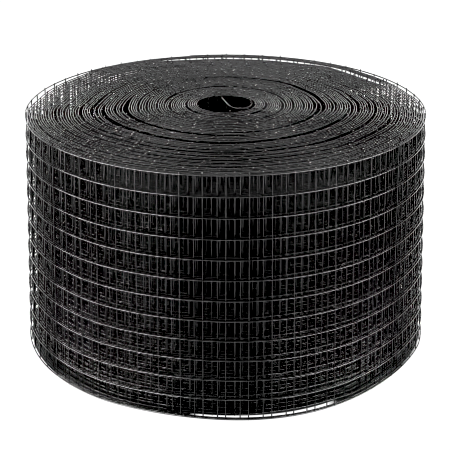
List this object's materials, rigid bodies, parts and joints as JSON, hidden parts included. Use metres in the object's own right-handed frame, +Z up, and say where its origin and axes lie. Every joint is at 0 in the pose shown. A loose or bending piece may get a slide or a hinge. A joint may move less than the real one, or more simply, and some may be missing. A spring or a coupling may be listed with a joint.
{
  "type": "roll of welded wire mesh",
  "caption": "Roll of black coated welded wire mesh standing on end, wound round an open core with the loose inner end hooked into it; strip is cut from it to close gaps against birds.",
  "frame": {"origin": "middle of the foot that the roll stands on", "axes": "+Z up along the core, +X to the right, the front of the pictured view towards -Y"},
  "size_m": [0.2655, 0.2663, 0.1548],
  "materials": {
    "coated_wire": "black plastic coat over steel wire, half gloss, a little uneven at the welds"
  },
  "bodies": {
    "root": {"wound_mesh": "coated_wire", "loose_end_root": "coated_wire", "loose_end_bend": "coated_wire", "loose_end_tip": "coated_wire"}
  },
  "joints": []
}
